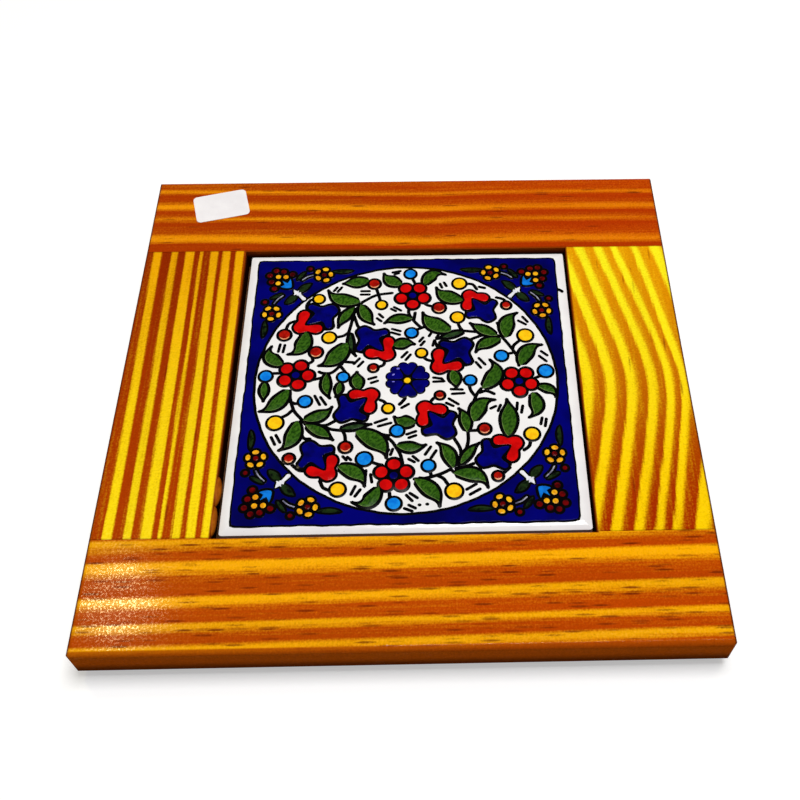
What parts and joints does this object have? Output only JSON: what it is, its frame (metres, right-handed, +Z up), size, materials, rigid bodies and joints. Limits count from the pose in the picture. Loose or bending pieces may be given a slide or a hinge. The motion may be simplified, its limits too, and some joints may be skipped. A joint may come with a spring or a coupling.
{
  "type": "framed tile trivet",
  "caption": "Square table trivet: a glazed cushion-edged tile with a painted floral roundel, set flush in a varnished pine frame on felt feet.",
  "frame": {"origin": "on the table under the centre of the frame, at the level of the feet", "axes": "+X to the right and +Y to the rear as the picture shows it, +Z up out of the tile's face"},
  "size_m": [0.167, 0.167, 0.0142],
  "materials": {
    "frame_pine": "glossy varnish over straight-grained pine",
    "tile_glaze": "glossy white glaze, painted",
    "hardboard": "smooth face of dark hardboard",
    "dowel_beech": "bare fluted beech",
    "adhesive": "cured tile adhesive",
    "felt": "dense pressed felt",
    "label_paper": "smooth blank paper"
  },
  "bodies": {
    "root": {"front_rail": "frame_pine", "rear_rail": "frame_pine", "left_stile": "frame_pine", "right_stile": "frame_pine", "tile": "tile_glaze", "backing_board": "hardboard", "dowel_front_left_inner": "dowel_beech", "dowel_front_left_outer": "dowel_beech", "dowel_front_right_inner": "dowel_beech", "dowel_front_right_outer": "dowel_beech", "dowel_rear_left_inner": "dowel_beech", "dowel_rear_left_outer": "dowel_beech", "dowel_rear_right_inner": "dowel_beech", "dowel_rear_right_outer": "dowel_beech", "adhesive_dab_centre": "adhesive", "adhesive_dab_front_left": "adhesive", "adhesive_dab_front_right": "adhesive", "adhesive_dab_rear_left": "adhesive", "adhesive_dab_rear_right": "adhesive", "foot_front_left": "felt", "foot_front_right": "felt", "foot_rear_left": "felt", "foot_rear_right": "felt", "blank_label": "label_paper"}
  },
  "joints": []
}
